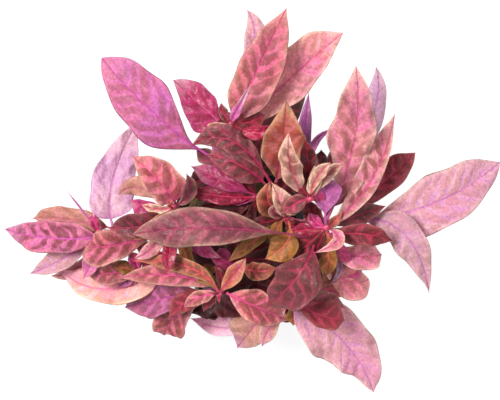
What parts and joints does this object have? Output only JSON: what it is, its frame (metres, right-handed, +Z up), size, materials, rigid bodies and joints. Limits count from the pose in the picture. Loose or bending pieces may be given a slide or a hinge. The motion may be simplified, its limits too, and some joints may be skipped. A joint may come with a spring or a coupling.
{
  "type": "potted aquarium plant",
  "caption": "Bunch of broad red, pink and purple leaves on cut stems, held by a mineral-wool plug in a slotted net pot",
  "frame": {"origin": "centre of the pot's flat base, on the surface that it stands on", "axes": "+Z up, out of the pot's mouth; +X to the right and -Y towards the viewer in the picture's view"},
  "size_m": [0.1845, 0.1312, 0.1153],
  "materials": {
    "pot": "Semi-matt black moulded plastic",
    "wool": "Damp brown mineral-wool fibre",
    "stem": "Smooth crimson plant stem, slightly waxy",
    "pink": "Magenta-pink leaf, pale brown blotches between pink veins, soft sheen",
    "lilac": "Lilac-pink leaf underside, thin and see-through, soft sheen",
    "salmon": "Salmon-red leaf, brown blotches between pink veins, soft sheen",
    "mottled": "Pink-purple leaf with strong brown blotches between pink veins",
    "mauve": "Mauve-pink leaf with grey-brown mottling, pink veins and a cream edge",
    "magenta": "Deep magenta leaf, glossy",
    "brown": "Tan-brown to olive leaf with pink veins, soft sheen",
    "dark": "Dark maroon leaf with pink veins, soft sheen",
    "pale": "Pale cream-pink leaf with lilac veins, thin and see-through"
  },
  "bodies": {
    "root": {"back_growing_tip": "lilac", "back_leaf_1": "salmon", "back_leaf_2": "pink", "back_leaf_3": "pink", "back_leaf_4": "magenta", "back_leaf_5": "pink", "back_side_shoot": "pink", "back_stem": "stem", "centre_leaf_1": "dark", "centre_leaf_2": "dark", "centre_leaf_3": "salmon", "centre_leaf_4": "dark", "centre_side_shoot": "magenta", "centre_stem": "stem", "far_left_growing_tip": "magenta", "far_left_leaf_1": "mottled", "far_left_leaf_2": "brown", "far_left_leaf_3": "lilac", "far_left_stem": "stem", "front_growing_tip": "salmon", "front_leaf_1": "salmon", "front_leaf_2": "mauve", "front_leaf_3": "magenta", "front_leaf_4": "salmon", "front_side_shoot": "brown", "front_stem": "stem", "left_growing_tip": "pale", "left_leaf_1": "salmon", "left_leaf_2": "brown", "left_leaf_3": "dark", "left_leaf_4": "brown", "left_stem": "stem", "low_left_growing_tip": "salmon", "low_left_leaf_1": "pale", "low_left_stem": "stem", "low_right_growing_tip": "brown", "low_right_leaf_1": "pink", "low_right_leaf_2": "brown", "low_right_leaf_3": "lilac", "low_right_leaf_4": "pale", "low_right_stem": "stem", "middle_growing_tip": "pale", "middle_leaf_1": "pale", "middle_side_shoot": "brown", "middle_stem": "stem", "net_pot": "pot", "outer_right_leaf_1": "pale", "outer_right_leaf_2": "pink", "outer_right_stem": "stem", "right_growing_tip": "pale", "right_leaf_1": "mauve", "right_leaf_2": "salmon", "right_leaf_3": "salmon", "right_leaf_4": "lilac", "right_leaf_5": "dark", "right_leaf_6": "brown", "right_leaf_7": "mauve", "right_side_shoot": "salmon", "right_stem": "stem", "rock_wool": "wool"}
  },
  "joints": []
}
